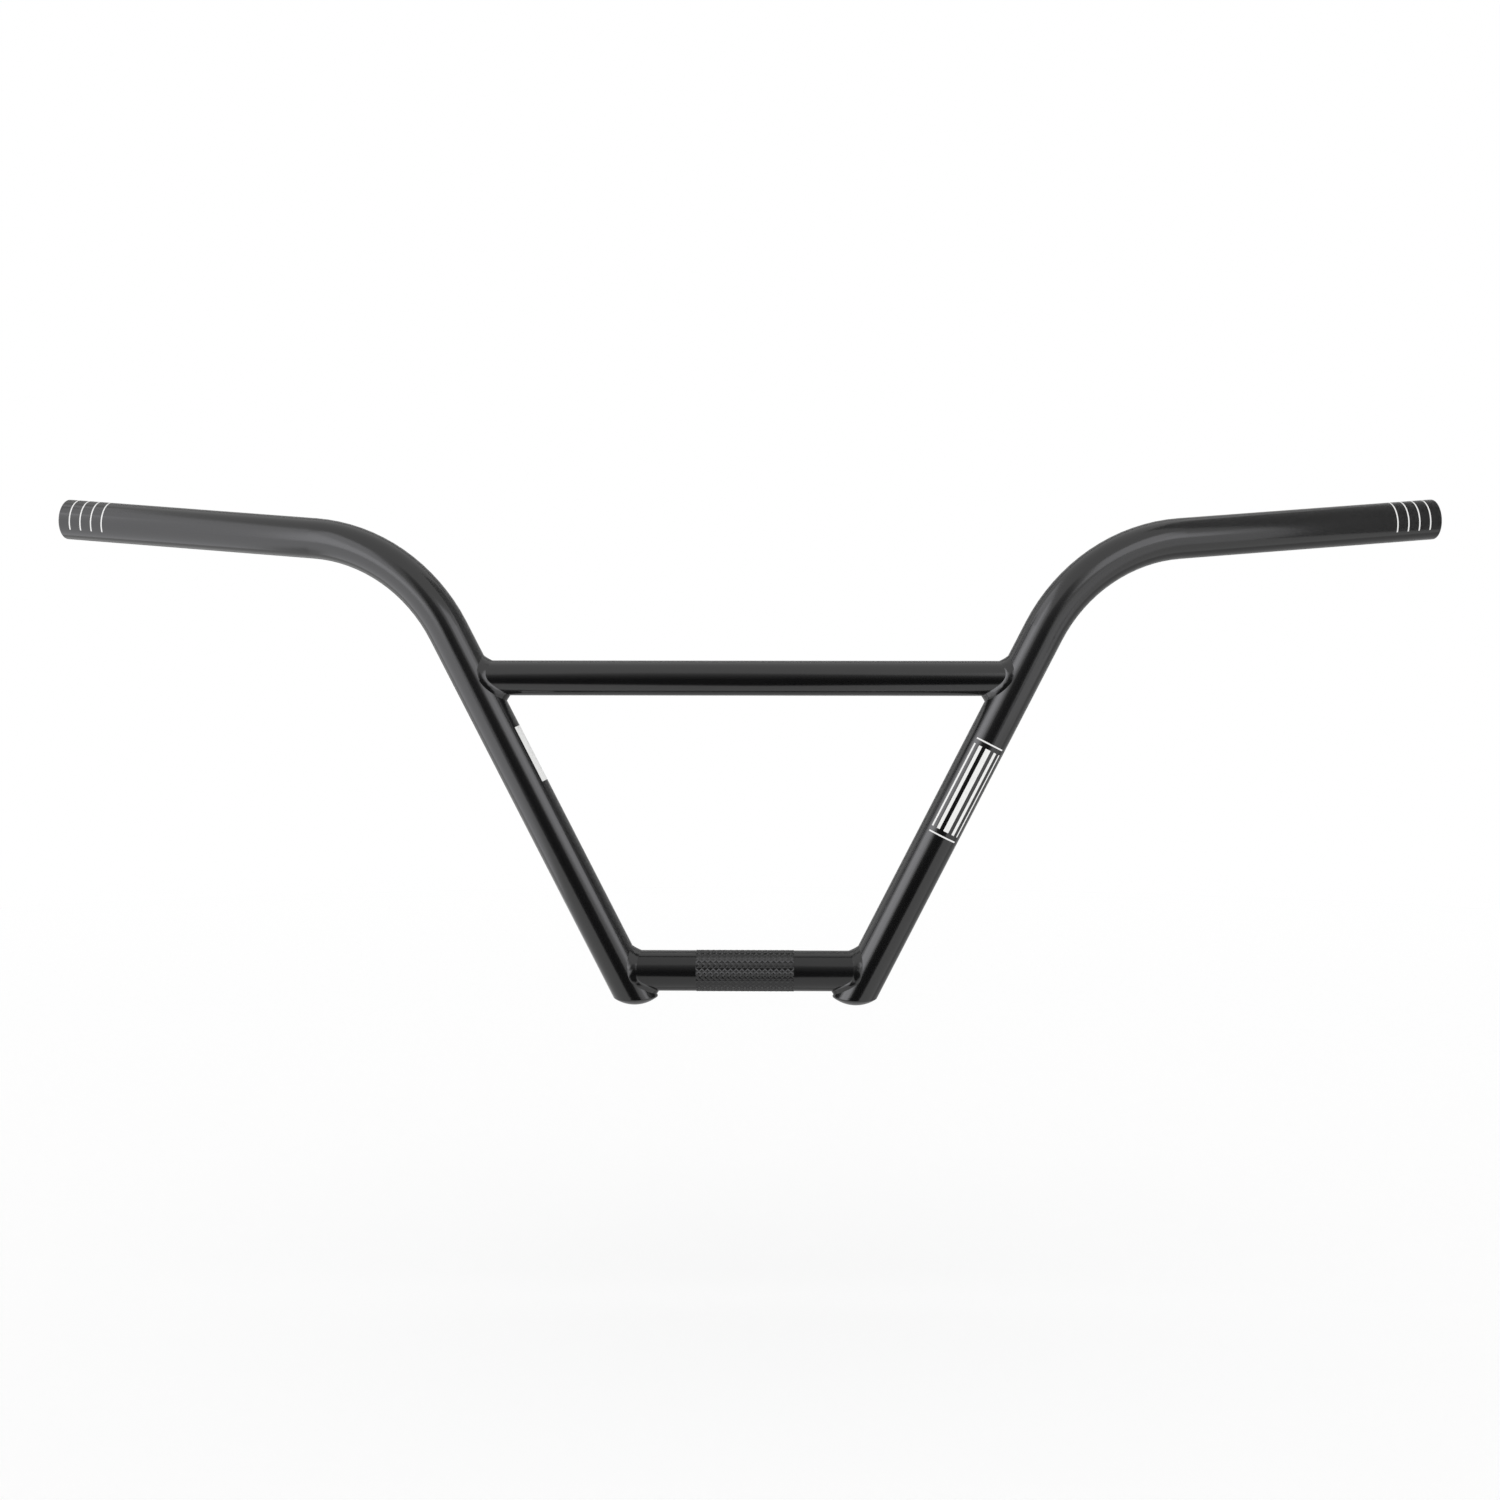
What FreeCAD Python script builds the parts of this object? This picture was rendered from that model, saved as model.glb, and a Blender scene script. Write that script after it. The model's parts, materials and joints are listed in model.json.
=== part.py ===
import FreeCAD, Part
import math
import os

# A welded steel BMX handlebar: two bent side tubes, a crossbar, and a clamp tube that the stem
# grips. Millimetres. The origin is the middle of the clamp tube, +X runs along it to the rider's
# left, +Y points back to the rider and +Z is up. Left and right are the rider's.

# Tube sections
bar_diameter = 22.2
side_tube_wall = 1.2
clamp_tube_wall = 2.0
crossbar_diameter = 19.05
crossbar_wall = 1.0

# Layout of the tubes' axes, with angles in degrees
foot_spacing = 134.4
side_lean = 27.0
crossbar_height = 160.0
corner_height = 232.0
bend_radius = 92.0
backsweep = 12.0
upsweep = 4.6
grip_run = 202.0

# Rounded edge at the open end of each side tube, and the flat ring left inside it
end_edge_radius = 1.0
end_edge_land = 0.2

# Level lower end of each side tube, below the clamp tube's axis, and the cap that closes it: a short
# skirt in line with the tube, and a domed bottom with a rounded edge
foot_drop = 13.2
cap_skirt = 0.8
cap_dome_radius = 20.0
cap_edge_radius = 0.8
cap_thickness = 1.6

# Clamp tube: the raised knurled band, and how far its square ends stop short of the side tubes' axes
knurl_length = 53.0
knurl_height = 0.2
clamp_setback = 6.2

# Weld beads: legs along each tube from the root, and height of the bead's face over the line between
# its toes, below zero where the face is hollow
weld_top_leg = 4.2
weld_side_leg = 2.8
crossbar_weld_bottom_leg = 3.4
weld_edge_clearance = 0.3
weld_top_crown = -0.7
weld_side_crown = 0.4
weld_bottom_crown = -0.2
weld_bite = 0.4
weld_root_depth = 2.5
weld_easing = 2.0
weld_sections = 32

bar_radius = bar_diameter / 2
crossbar_radius = crossbar_diameter / 2
lean = math.radians(side_lean)
sweep = math.radians(backsweep)
rise = math.radians(upsweep)

x_axis = FreeCAD.Vector(1, 0, 0)
middle = FreeCAD.Vector(0, 0, 0)

# Axis of the left side tube: a riser that leans outwards, one bend, and a grip that sweeps back and up
foot = FreeCAD.Vector(foot_spacing / 2, 0, 0)
riser_direction = FreeCAD.Vector(math.sin(lean), 0, math.cos(lean))
grip_direction = FreeCAD.Vector(
    math.cos(rise) * math.cos(sweep), math.cos(rise) * math.sin(sweep), math.sin(rise)
)
corner = foot + riser_direction * (corner_height / math.cos(lean))
bar_end = corner + grip_direction * grip_run
riser_start = foot - riser_direction * ((foot_drop + bar_diameter) / math.cos(lean))


def side_tube_path():
    turn = riser_direction.getAngle(grip_direction)
    tangent_length = bend_radius * math.tan(turn / 2)
    bend_start = corner - riser_direction * tangent_length
    bend_end = corner + grip_direction * tangent_length
    to_centre = (grip_direction - riser_direction).normalize()
    bend_middle = corner + to_centre * (bend_radius / math.cos(turn / 2) - bend_radius)
    return Part.Wire([
        Part.LineSegment(riser_start, bend_start).toShape(),
        Part.Arc(bend_start, bend_middle, bend_end).toShape(),
        Part.LineSegment(bend_end, bar_end).toShape(),
    ])


def side_rod(radius):
    section = Part.Face(Part.Wire(Part.makeCircle(radius, riser_start, riser_direction)))
    return side_tube_path().makePipe(section)


def below_feet():
    size = 4 * bar_diameter
    return Part.makeBox(size, size, size, FreeCAD.Vector(foot.x - size / 2, -size / 2, -foot_drop - size))


def rounded_end(rod):
    radius = min(end_edge_radius, side_tube_wall - end_edge_land)
    ends = [edge for edge in rod.Edges if edge.BoundBox.Center.distanceToPoint(bar_end) < radius]
    return rod.makeFillet(radius, ends)


def side_tube():
    tube = rounded_end(side_rod(bar_radius)).cut(side_rod(bar_radius - side_tube_wall))
    return tube.cut(below_feet())


def dome_ball(radius):
    rim_reach = bar_radius / math.cos(lean) + cap_skirt * math.tan(lean)
    height = math.sqrt(cap_dome_radius ** 2 - rim_reach ** 2) - cap_skirt - foot_drop
    return Part.makeSphere(radius, FreeCAD.Vector(foot.x - foot_drop * math.tan(lean), 0, height))


def foot_plug(tube_radius, dome_radius):
    return side_rod(tube_radius).common(below_feet()).common(dome_ball(dome_radius))


def shared_edges(face, other_face):
    return [edge for edge in face.Edges if any(edge.isSame(other) for other in other_face.Edges)]


def end_cap():
    plug = foot_plug(bar_radius, cap_dome_radius)
    skirt = next(face for face in plug.Faces if isinstance(face.Surface, Part.Cylinder))
    bottom = next(face for face in plug.Faces if isinstance(face.Surface, Part.Sphere))
    plug = plug.makeFillet(min(cap_edge_radius, cap_skirt), shared_edges(skirt, bottom))
    return plug.cut(foot_plug(bar_radius - side_tube_wall, cap_dome_radius - cap_thickness))


def level_rod(radius, half_length, height):
    return Part.makeCylinder(radius, 2 * half_length, FreeCAD.Vector(-half_length, 0, height), x_axis)


def mirrored(shape):
    return shape.mirror(middle, x_axis)


# Half lengths of the two cross tubes before their ends are coped to fit the side tubes
crossbar_half = foot.x + crossbar_height * math.tan(lean)
clamp_half = foot.x - clamp_setback


def crossbar():
    tube = level_rod(crossbar_radius, crossbar_half, crossbar_height)
    bore = level_rod(crossbar_radius - crossbar_wall, crossbar_half, crossbar_height)
    rod = side_rod(bar_radius)
    return tube.cut([bore, rod, mirrored(rod)])


def clamp_tube():
    tube = level_rod(bar_radius, clamp_half, 0).fuse(
        level_rod(bar_radius + knurl_height, knurl_length / 2, 0)
    )
    bore = level_rod(bar_radius - clamp_tube_wall, clamp_half, 0)
    rod = side_rod(bar_radius)
    return tube.cut([bore, rod, mirrored(rod)])


# A bead goes once round the joint of a cross tube with the left side tube. Four closed rings run
# along it: its root inside both tubes, a toe on each tube and the crown between the toes. The bead
# is lofted through the rings, and the tubes are then cut away from it.
to_window = FreeCAD.Vector(-math.cos(lean), 0, math.sin(lean))
to_front = FreeCAD.Vector(0, -1, 0)


def eased_round(upright, top, side, bottom):
    return side + ((top if upright > 0 else bottom) - side) * upright ** 2


def weld_section(angle, tube_radius, tube_half, height, bottom_leg):
    upright = math.cos(angle)
    tube_normal = FreeCAD.Vector(0, -math.sin(angle), upright)
    leg = eased_round(upright, weld_top_leg, weld_side_leg, bottom_leg)
    crown = eased_round(upright, weld_top_crown, weld_side_crown, weld_bottom_crown)

    # Edge of the cross tube: its cope, eased into its square end where that stops short of the cope
    on_tube = FreeCAD.Vector(0, 0, height) + tube_normal * tube_radius
    reach = math.sqrt(max(bar_radius ** 2 - on_tube.y ** 2, 0)) / math.cos(lean)
    coped_x = foot.x + on_tube.z * math.tan(lean) - reach
    edge_x = (coped_x + tube_half - math.hypot(coped_x - tube_half, weld_easing)) / 2
    edge = on_tube + x_axis * edge_x
    tube_toe = edge - x_axis * leg

    # Toe on the side tube: stepped away from the middle of the joint over the tube's unrolled surface
    joint_x = foot.x + height * math.tan(lean) - bar_radius / math.cos(lean)
    joint_along = (FreeCAD.Vector(joint_x, 0, height) - foot).dot(riser_direction)
    along = (edge - foot).dot(riser_direction)
    around = math.atan2((edge - foot).dot(to_front), (edge - foot).dot(to_window))
    step = FreeCAD.Vector(around * bar_radius, along - joint_along, 0).normalize() * leg
    toe_around = around + step.x / bar_radius
    side_normal = to_window * math.cos(toe_around) + to_front * math.sin(toe_around)
    side_toe = foot + riser_direction * (along + step.y) + side_normal * bar_radius

    facing = (tube_normal + side_normal).normalize()
    return (
        edge - facing * weld_root_depth,
        tube_toe - tube_normal * weld_bite,
        (tube_toe + side_toe) / 2 + facing * crown,
        side_toe - side_normal * weld_bite,
    )


def ring(points):
    curve = Part.BSplineCurve()
    curve.interpolate(Points=points, PeriodicFlag=True, Parameters=list(range(len(points) + 1)))
    return Part.Wire(curve.toShape())


def weld_bead(tube_radius, tube_half, height, bottom_leg):
    turns = [2 * math.pi * i / weld_sections for i in range(weld_sections)]
    sections = [weld_section(turn, tube_radius, tube_half, height, bottom_leg) for turn in turns]
    bead = Part.makeLoft([ring(list(points)) for points in zip(*sections)], True, False, True)
    return bead.cut([side_rod(bar_radius), level_rod(tube_radius, tube_half, height)])


clamp_weld_bottom_leg = (foot_drop - bar_radius) / math.cos(lean) - weld_edge_clearance
left_pieces = {
    "side_tube": side_tube(),
    "end_cap": end_cap(),
    "upper_weld": weld_bead(crossbar_radius, crossbar_half, crossbar_height, crossbar_weld_bottom_leg),
    "lower_weld": weld_bead(bar_radius, clamp_half, 0, clamp_weld_bottom_leg),
}

pieces = {"crossbar": crossbar(), "clamp_tube": clamp_tube()}
for name, shape in left_pieces.items():
    pieces["left_" + name] = shape
    pieces["right_" + name] = mirrored(shape)

os.makedirs("parts", exist_ok=True)
for name, shape in pieces.items():
    shape.exportStep(os.path.join("parts", name + ".step"))
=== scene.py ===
import json
import math

import bmesh
import bpy
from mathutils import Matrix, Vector


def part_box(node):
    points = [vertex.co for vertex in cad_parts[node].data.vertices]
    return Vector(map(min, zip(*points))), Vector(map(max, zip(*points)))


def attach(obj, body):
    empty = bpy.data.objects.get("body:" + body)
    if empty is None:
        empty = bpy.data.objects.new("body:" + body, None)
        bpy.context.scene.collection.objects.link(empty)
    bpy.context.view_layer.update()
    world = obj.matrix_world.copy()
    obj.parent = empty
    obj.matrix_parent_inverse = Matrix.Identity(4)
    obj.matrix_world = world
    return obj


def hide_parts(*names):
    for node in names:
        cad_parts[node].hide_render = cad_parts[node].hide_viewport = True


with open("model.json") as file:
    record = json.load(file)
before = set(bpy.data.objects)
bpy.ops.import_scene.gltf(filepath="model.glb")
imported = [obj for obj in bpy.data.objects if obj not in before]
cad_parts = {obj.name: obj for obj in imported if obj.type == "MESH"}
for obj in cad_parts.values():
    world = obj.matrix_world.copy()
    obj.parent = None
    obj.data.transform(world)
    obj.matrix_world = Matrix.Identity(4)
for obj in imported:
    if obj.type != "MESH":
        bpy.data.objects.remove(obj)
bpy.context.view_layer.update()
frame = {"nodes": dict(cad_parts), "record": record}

# Side tubes, crossbar and end caps: seamless steel tube, bent, mitred and welded up, then sprayed
# black all over and baked. The film is smooth and glossy, with a faint peel and slightly duller clouds.
mm = 0.001
film_black = (0.0040, 0.0040, 0.0041, 1)
film_grey = (0.0058, 0.0058, 0.0061, 1)
film_index = 1.6
film_roughness = 0.17
cloud_size = 35 * mm
cloud_detail = 3.0
cloud_dulling = 0.05
peel_size = 1.6 * mm
peel_detail = 1.0
peel_height = 0.0025 * mm
noise_mean = 0.5
# Sockets of a Mix node: the share, the two colours that go in, and the colour that comes out
mix_share, mix_first, mix_second, mix_colour = 0, 6, 7, 2


class Shade:
    """A socket of a material's nodes, so that shader maths is written as Python."""

    def __init__(self, tree, socket=None):
        self.tree = tree
        self.socket = socket

    def set(self, socket, value):
        if isinstance(value, Shade):
            self.tree.links.new(value.socket, socket)
        else:
            socket.default_value = value

    def node(self, kind, settings, inputs, output=0):
        made = self.tree.nodes.new("ShaderNode" + kind)
        for name, value in settings.items():
            setattr(made, name, value)
        for name, value in inputs.items():
            self.set(made.inputs[name], value)
        return Shade(self.tree, made.outputs[output])

    def math(self, operation, first, second):
        return self.node("Math", {"operation": operation}, {0: first, 1: second})

    def __add__(self, other):
        return self.math("ADD", self, other)

    def __radd__(self, other):
        return self.math("ADD", other, self)

    def __sub__(self, other):
        return self.math("SUBTRACT", self, other)

    def __rsub__(self, other):
        return self.math("SUBTRACT", other, self)

    def __mul__(self, other):
        return self.math("MULTIPLY", self, other)

    def __rmul__(self, other):
        return self.math("MULTIPLY", other, self)


def new_material(name):
    material = bpy.data.materials.new(name)
    material.use_nodes = True
    return material, Shade(material.node_tree), material.node_tree.nodes["Principled BSDF"].inputs


def place_on_piece(shade):
    return shade.node("TexCoord", {}, {}, "Object")


def noise(shade, size, detail):
    inputs = {"Vector": place_on_piece(shade), "Scale": 1 / size, "Detail": detail}
    return shade.node("TexNoise", {}, inputs)


def mixed(shade, share, first, second):
    colours = {mix_share: share, mix_first: first, mix_second: second}
    return shade.node("Mix", {"data_type": "RGBA"}, colours, mix_colour)


def black_paint(name, index, bump_size, bump_height):
    material, shade, surface = new_material(name)
    cloud = noise(shade, cloud_size, cloud_detail)
    bumps = noise(shade, bump_size, peel_detail)
    relief = shade.node("Bump", {}, {"Distance": bump_height, "Height": bumps})
    shade.set(surface["Base Color"], mixed(shade, cloud, film_black, film_grey))
    shade.set(surface["Roughness"], film_roughness + cloud_dulling * (cloud - noise_mean))
    shade.set(surface["Normal"], relief)
    shade.set(surface["IOR"], index)
    return material


def dress(names, material):
    for name in names:
        slots = frame["nodes"][name].data.materials
        slots.clear()
        slots.append(material)


tube_paint = black_paint("tube_paint", film_index, peel_size, peel_height)
dress(("left_side_tube", "right_side_tube", "crossbar", "left_end_cap", "right_end_cap"), tube_paint)

# Clamp tube: a short thick-walled tube between the side tubes, coped to fit them. Its middle is rolled
# into a diamond knurl for the stem to grip. Its paint reflects less than the side tubes': painted shade.
mounts = {mount["name"]: mount for mount in frame["record"]["mounts"]}
# A lower index than the side tubes' paint, so the clamp tube's reflections are darker: painted shade
clamp_shaded_film_index = 1.5
riser_foot = 67.2 * mm
riser_lean = math.radians(27)
bar_radius = mounts["left_grip"]["dims"]["r_mm"] * mm
clamp_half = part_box("clamp_tube")[1][0]
clamp_wall = 2 * mm
clamp_bore_radius = bar_radius - clamp_wall
knurl_half = mounts["stem_clamp"]["dims"]["length_mm"] * mm / 2
knurl_peak_radius = mounts["stem_clamp"]["dims"]["r_mm"] * mm
knurl_depth = 0.25 * mm
knurl_run_out = 0.15 * mm
diamonds_round = 24
diamonds_along = 17
diamond_flat = 0.3
corner_digits = 3
crease_angle = math.radians(20)


def round_x(x, angle, radius):
    return Vector((x, -math.sin(angle) * radius, math.cos(angle) * radius))


def coped_end(angle, radius):
    y, z = round_x(0, angle, radius).yz
    reach = math.sqrt(bar_radius ** 2 - y ** 2) / math.cos(riser_lean)
    return min(riser_foot + z * math.tan(riser_lean) - reach, clamp_half)


def bridge(mesh, first, second):
    for k in range(len(first)):
        step = (k + 1) % len(first)
        mesh.faces.new([first[k], first[step], second[step], second[k]])


def mesh_piece(name, mesh, material):
    bmesh.ops.recalc_face_normals(mesh, faces=mesh.faces)
    data = bpy.data.meshes.new(name)
    mesh.to_mesh(data)
    mesh.free()
    data.shade_smooth()
    data.set_sharp_from_angle(angle=crease_angle)
    data.materials.append(material)
    piece = bpy.data.objects.new(name, data)
    bpy.context.collection.objects.link(piece)
    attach(piece, "root")
    return piece


def knurl_edge_steps():
    for i in range(1, 2 * diamonds_round, 2):
        yield from (i - 1, i - diamond_flat, i + diamond_flat)


def knurled_tube():
    mesh = bmesh.new()
    corners = {}

    # Steps round and along the knurl are half diamonds, and neighbours share the corners that they meet at
    def corner(round_step, along_step, radius):
        key = (round(round_step % (2 * diamonds_round), corner_digits), round(along_step, corner_digits))
        if key not in corners:
            x = knurl_half * (along_step / diamonds_along - 1)
            corners[key] = mesh.verts.new(round_x(x, math.pi * round_step / diamonds_round, radius))
        return corners[key]

    # A flat tip with slopes down to the valleys, cut in half at the ends of the knurl
    def diamond(i, j):
        sides = [(1, 0), (0, 1), (-1, 0), (0, -1)]
        sides = [(di, dj) for di, dj in sides if 0 <= j + dj <= 2 * diamonds_along]
        valley = [corner(i + di, j + dj, knurl_peak_radius - knurl_depth) for di, dj in sides]
        peak = [corner(i + di * diamond_flat, j + dj * diamond_flat, knurl_peak_radius) for di, dj in sides]
        mesh.faces.new(peak)
        for k in range(len(sides)):
            step = (k + 1) % len(sides)
            if sides[k][0] * sides[step][0] == 0:
                mesh.faces.new([valley[k], valley[step], peak[step], peak[k]])

    for j in range(2 * diamonds_along + 1):
        for i in range((j + 1) % 2, 2 * diamonds_round, 2):
            diamond(i, j)

    def ring(points):
        return [mesh.verts.new(point) for point in points]

    def plain_end(side, knurl_row):
        steps = list(knurl_edge_steps())
        angles = [math.pi * step / diamonds_round for step in steps]
        knurl_edge = [corner(step, knurl_row, knurl_peak_radius) for step in steps]
        shoulder = ring(round_x(side * (knurl_half + knurl_run_out), a, bar_radius) for a in angles)
        rim = ring(round_x(side * coped_end(a, bar_radius), a, bar_radius) for a in angles)
        bore = ring(round_x(side * coped_end(a, clamp_bore_radius), a, clamp_bore_radius) for a in angles)
        bridge(mesh, knurl_edge, shoulder)
        bridge(mesh, shoulder, rim)
        bridge(mesh, rim, bore)
        return bore

    bridge(mesh, plain_end(-1, 0), plain_end(1, 2 * diamonds_along))
    return mesh


# The tube paint again with the lower index, as painted shade on the clamp tube
clamp_shaded_paint = black_paint("clamp_shaded_paint", clamp_shaded_film_index, peel_size, peel_height)
clamp_tube = mesh_piece("knurled_clamp_tube", knurled_tube(), clamp_shaded_paint)
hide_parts("clamp_tube")

# Weld beads: steel laid in by hand round each joint and left as it cooled, then painted with the
# tubes. The faint ripple of the passes still shows through the paint.
ripple_size = 4 * mm
ripple_height = 0.3 * mm

weld_paint = black_paint("weld_paint", film_index, ripple_size, ripple_height)
dress(("left_upper_weld", "right_upper_weld", "left_lower_weld", "right_lower_weld"), weld_paint)

# Cutting marks: four thin white lines printed round the top and front of each bar end, for sawing the
# bar to length. The ink is a thin film that stands just proud of the paint.
ink_white = (0.92, 0.92, 0.91, 1)
ink_worn = (0.82, 0.82, 0.81, 1)
ink_roughness = 0.42
ink_dulling = 0.1
ink_cloud_size = 3 * mm
ink_cloud_detail = 4.0
ink_height = 0.03 * mm
ink_root = 0.1 * mm
mark_width = 0.75 * mm
mark_pitch = 6.5 * mm
first_mark = 7.1 * mm
mark_count = 4
mark_start = math.radians(-25)
mark_end = math.radians(121)
wrap_step = math.radians(3)
up = Vector((0, 0, 1))


def white_ink():
    material, shade, surface = new_material("white_ink")
    cloud = noise(shade, ink_cloud_size, ink_cloud_detail)
    shade.set(surface["Base Color"], mixed(shade, cloud, ink_white, ink_worn))
    shade.set(surface["Roughness"], ink_roughness + ink_dulling * (cloud - noise_mean))
    return material


class Wrap:
    """A stretch of bar to print on, from a point on its axis, with the side that angle 0 faces."""

    def __init__(self, start, along, facing):
        self.start = Vector(start)
        self.along = along.normalized()
        self.facing = (facing - self.along * self.along.dot(facing)).normalized()
        self.side = self.along.cross(self.facing)

    def point(self, length, angle, radius):
        outward = self.facing * math.cos(angle) + self.side * math.sin(angle)
        return self.start + self.along * length + outward * radius

    def print_patch(self, mesh, length, width, start, end):
        steps = math.ceil((end - start) / wrap_step)
        section = ((0, -ink_root), (width, -ink_root), (width, ink_height), (0, ink_height))
        rows = []
        for i in range(steps + 1):
            angle = start + (end - start) * i / steps
            rows.append([
                mesh.verts.new(self.point(length + offset, angle, bar_radius + height))
                for offset, height in section
            ])
        for row, next_row in zip(rows, rows[1:]):
            bridge(mesh, row, next_row)
        mesh.faces.new(rows[0])
        mesh.faces.new(rows[-1])


ink = white_ink()
for name, turn in (("left", -1), ("right", 1)):
    bar_end = mounts[name + "_bar_end"]
    wrap = Wrap(bar_end["pos_m"], -Vector(bar_end["axis"]), up)
    marks = bmesh.new()
    low, high = sorted((turn * mark_start, turn * mark_end))
    for k in range(mark_count):
        wrap.print_patch(marks, first_mark + k * mark_pitch - mark_width / 2, mark_width, low, high)
    mesh_piece(name + "_cutting_marks", marks, ink)

# Riser prints: plain stripes along each riser, in the same ink as the cutting marks. The left riser has
# narrow ones between two end lines on its front, and the right riser broader ones round its back.
stripe_gap = 2.2 * mm
left_print_middle = 112.5 * mm
left_print_turn = math.radians(9)
left_stripe_length = 50 * mm
left_stripes = [width * mm for width in (1.0, 1.8, 3.0, 1.8, 1.0)]
end_line = 0.8 * mm
end_line_reach = 28 * mm
right_print_middle = 128.5 * mm
right_print_start = math.radians(54)
right_stripe_length = 33 * mm
right_stripes = [width * mm for width in (8.0, 5.6, 3.8, 2.4, 1.4)]
front = Vector((0, -1, 0))


def riser_wrap(side):
    riser = Vector((side * math.sin(riser_lean), 0, math.cos(riser_lean)))
    return Wrap((side * riser_foot, 0, 0), riser, front)


def print_stripes(panel, wrap, middle, length, start, widths):
    for width in widths:
        end = start + width / bar_radius
        wrap.print_patch(panel, middle - length / 2, length, start, end)
        start = end + stripe_gap / bar_radius


left_panel = bmesh.new()
left_wrap = riser_wrap(1)
left_print_width = sum(left_stripes) + stripe_gap * (len(left_stripes) - 1)
low = left_print_turn - left_print_width / bar_radius / 2
high = left_print_turn + left_print_width / bar_radius / 2
print_stripes(left_panel, left_wrap, left_print_middle, left_stripe_length, low, left_stripes)
for middle in (left_print_middle - end_line_reach, left_print_middle + end_line_reach):
    left_wrap.print_patch(left_panel, middle - end_line / 2, end_line, low, high)
mesh_piece("left_riser_print", left_panel, ink)

right_panel = bmesh.new()
right_wrap = riser_wrap(-1)
print_stripes(
    right_panel, right_wrap, right_print_middle, right_stripe_length, right_print_start, right_stripes
)
mesh_piece("right_riser_print", right_panel, ink)

# Studio: a white room with a white table that runs out into it, and soft boxes that show in the gloss.
# Black cloth between the boxes draws the dark streak along each tube, two cards shade the grips, and a
# grey backdrop, also seen in the gloss alone, keeps the tubes' edges dark.
table_height = -0.18
table_half = 2.6
table_fade_start = 0.9
table_white = (0.99, 0.99, 0.99, 1)
cloth_black = (0.01, 0.01, 0.01, 1)
cloth_lift = 1 * mm
cloth_far = -1.35
cloth_top = 2.05
cloth_fade_start = -0.15
cloth_on_table = ((0, -0.3), (0.95, -1.1), (0.95, cloth_far), (-0.95, cloth_far), (-0.95, -1.1))
cloth_on_wall = ((-0.7, table_height), (0.8, table_height), (-0.15, 1.2))
backdrop_grey = (0.55, 0.55, 0.55, 1)
backdrop_far = 0.8
backdrop_on_table = ((1.6, 0.03), (-0.25, 0.03), (-0.25, backdrop_far), (1.6, backdrop_far))
backdrop_on_wall = ((1.6, table_height), (-0.8, table_height), (-0.8, 1.2), (1.6, 1.2))
matte_roughness = 1.0
matte_specular = 0.0
# Each card: its place, the point that it faces, its width and height, and its colour
cards = {
    "right_card": ((-0.85, 0.1, 0.55), (0, 0.75, 0.2), 0.5, 0.45, (0.04, 0.04, 0.04, 1)),
    "left_card": ((0.48, 0.12, 0.48), (0, 0.3, 0.34), 0.58, 0.92, (0.44, 0.44, 0.44, 1)),
}
# Each soft box: its place, the point that it faces, its width and height, and its brightness
soft_boxes = {
    "right_side_box": ((-0.8, -0.5, 0.65), (0, -0.65, 0.85), 1.35, 1.8, 1.1),
    "right_front_box": ((-0.55, -0.75, 0.45), (0, -0.75, 0.4), 0.65, 0.8, 1.3),
    "right_far_box": ((-1.4, -0.7, 0.7), (0, -0.55, 0.3), 0.55, 0.75, 1.45),
    "left_front_box": ((0.45, -0.7, 0.5), (0, -0.35, 0.2), 0.45, 0.45, 1.4),
    "left_low_box": ((0.85, -0.55, 0.2), (0, -0.15, 0.65), 0.9, 1.3, 0.4),
    "left_side_box": ((1.45, -0.75, 0.75), (0, -1.1, 0.75), 1.4, 1.3, 0.5),
    "left_far_box": ((1.4, -0.85, 0.75), (0, 0, 0.65), 0.4, 0.65, 0.85),
}
box_light = (0.95, 0.95, 1.0)
room_white = (1, 1, 1, 1)
room_strength = 1.0
# Sockets of a Mix Shader node: the share and the two shaders
blend_share, blend_first, blend_second = 0, 1, 2


def plain_material(name, colour):
    material, shade, surface = new_material(name)
    shade.set(surface["Base Color"], colour)
    shade.set(surface["Roughness"], matte_roughness)
    shade.set(surface["Specular IOR Level"], matte_specular)
    return material


def distance_out(shade, place):
    return shade.node("VectorMath", {"operation": "LENGTH"}, {"Vector": place}, "Value")


def height_up(shade, place):
    return shade.node("SeparateXYZ", {}, {"Vector": place}, "Z")


def fading_material(name, colour, measure, start, end):
    material = plain_material(name, colour)
    nodes = material.node_tree.nodes
    shade = Shade(material.node_tree)
    stretch = {"Value": measure(shade, place_on_piece(shade)), "From Min": start, "From Max": end}
    fade = shade.node("MapRange", {"interpolation_type": "SMOOTHSTEP"}, stretch)
    solid = Shade(material.node_tree, nodes["Principled BSDF"].outputs["BSDF"])
    clear = shade.node("BsdfTransparent", {}, {})
    blend = shade.node("MixShader", {}, {blend_share: fade, blend_first: solid, blend_second: clear})
    shade.set(nodes["Material Output"].inputs["Surface"], blend)
    return material


def stage_sheet(name, points, material):
    data = bpy.data.meshes.new(name)
    data.from_pydata(points, [], [range(len(points))])
    data.materials.append(material)
    sheet = bpy.data.objects.new(name, data)
    bpy.context.collection.objects.link(sheet)
    return sheet


def gloss_only(sheet):
    sheet.visible_camera = False
    sheet.visible_diffuse = False
    sheet.visible_shadow = False


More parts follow.
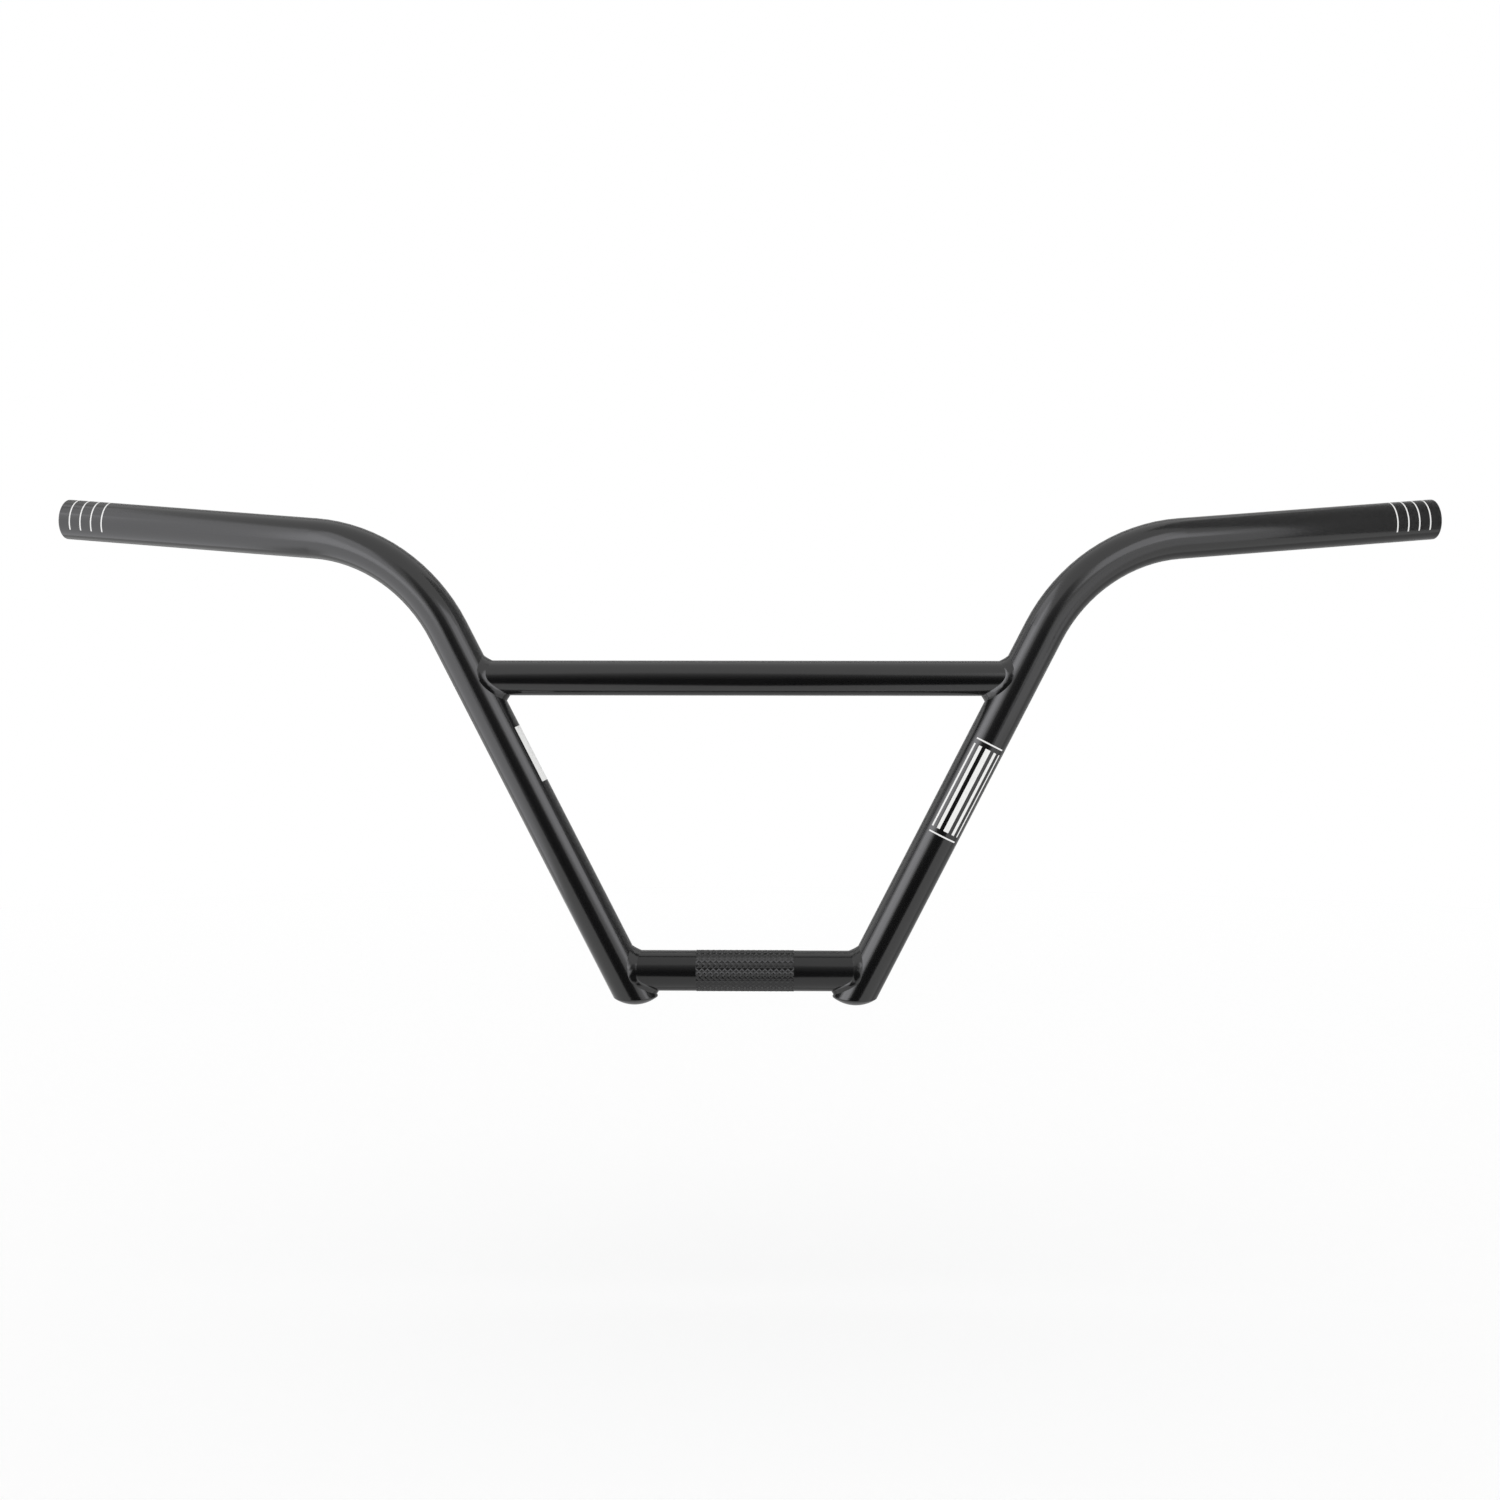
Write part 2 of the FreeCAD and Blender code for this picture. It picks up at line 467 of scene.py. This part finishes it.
def hang(name, on_table, on_wall, wall, material):
    table_points = [(x, y, table_height + cloth_lift) for x, y in on_table]
    wall_points = [(x, wall, z) for x, z in on_wall]
    for part, points in (("_on_table", table_points), ("_on_wall", wall_points)):
        gloss_only(stage_sheet(name + part, points, material))


def rectangle(half_width, half_height, z):
    return [
        (-half_width, -half_height, z),
        (half_width, -half_height, z),
        (half_width, half_height, z),
        (-half_width, half_height, z),
    ]


def aim(thing, place, target):
    thing.location = place
    thing.rotation_euler = (Vector(target) - Vector(place)).to_track_quat("-Z", "Y").to_euler()


table_paint = fading_material("table_paint", table_white, distance_out, table_fade_start, table_half)
stage_sheet("table", rectangle(table_half, table_half, table_height), table_paint)

black = fading_material("black_cloth", cloth_black, height_up, cloth_fade_start, cloth_top)
hang("cloth", cloth_on_table, cloth_on_wall, cloth_far, black)
grey = plain_material("grey_backdrop", backdrop_grey)
hang("backdrop", backdrop_on_table, backdrop_on_wall, backdrop_far, grey)

for name, (place, target, width, height, colour) in cards.items():
    card = stage_sheet(name, rectangle(width / 2, height / 2, 0), plain_material(name, colour))
    aim(card, place, target)
    gloss_only(card)

for name, (place, target, width, height, brightness) in soft_boxes.items():
    lamp = bpy.data.lights.new(name, "AREA")
    lamp.shape = "RECTANGLE"
    lamp.size = width
    lamp.size_y = height
    lamp.color = box_light
    lamp.energy = brightness * math.pi * width * height
    box = bpy.data.objects.new(name, lamp)
    bpy.context.collection.objects.link(box)
    box.visible_diffuse = False
    aim(box, place, target)

world = bpy.data.worlds.new("white_room")
bpy.context.scene.world = world
world.use_nodes = True
surround = world.node_tree.nodes["Background"].inputs
surround["Color"].default_value = room_white
surround["Strength"].default_value = room_strength
bpy.context.scene.view_settings.view_transform = "Standard"

# Camera: in front of the bar, a little above the crossbar and to the rider's left of the middle. Its
# place is in metres and its turn in degrees, and it looks slightly down, as in the photograph.
camera_place = (0.024, -1.245, 0.182)
camera_turn = (87.19, -0.05, 0.99)
camera_lens = 54.93

camera = bpy.data.objects.new("camera", bpy.data.cameras.new("camera"))
bpy.context.collection.objects.link(camera)
camera.location = camera_place
camera.rotation_euler = [math.radians(angle) for angle in camera_turn]
camera.data.lens = camera_lens
bpy.context.scene.camera = camera
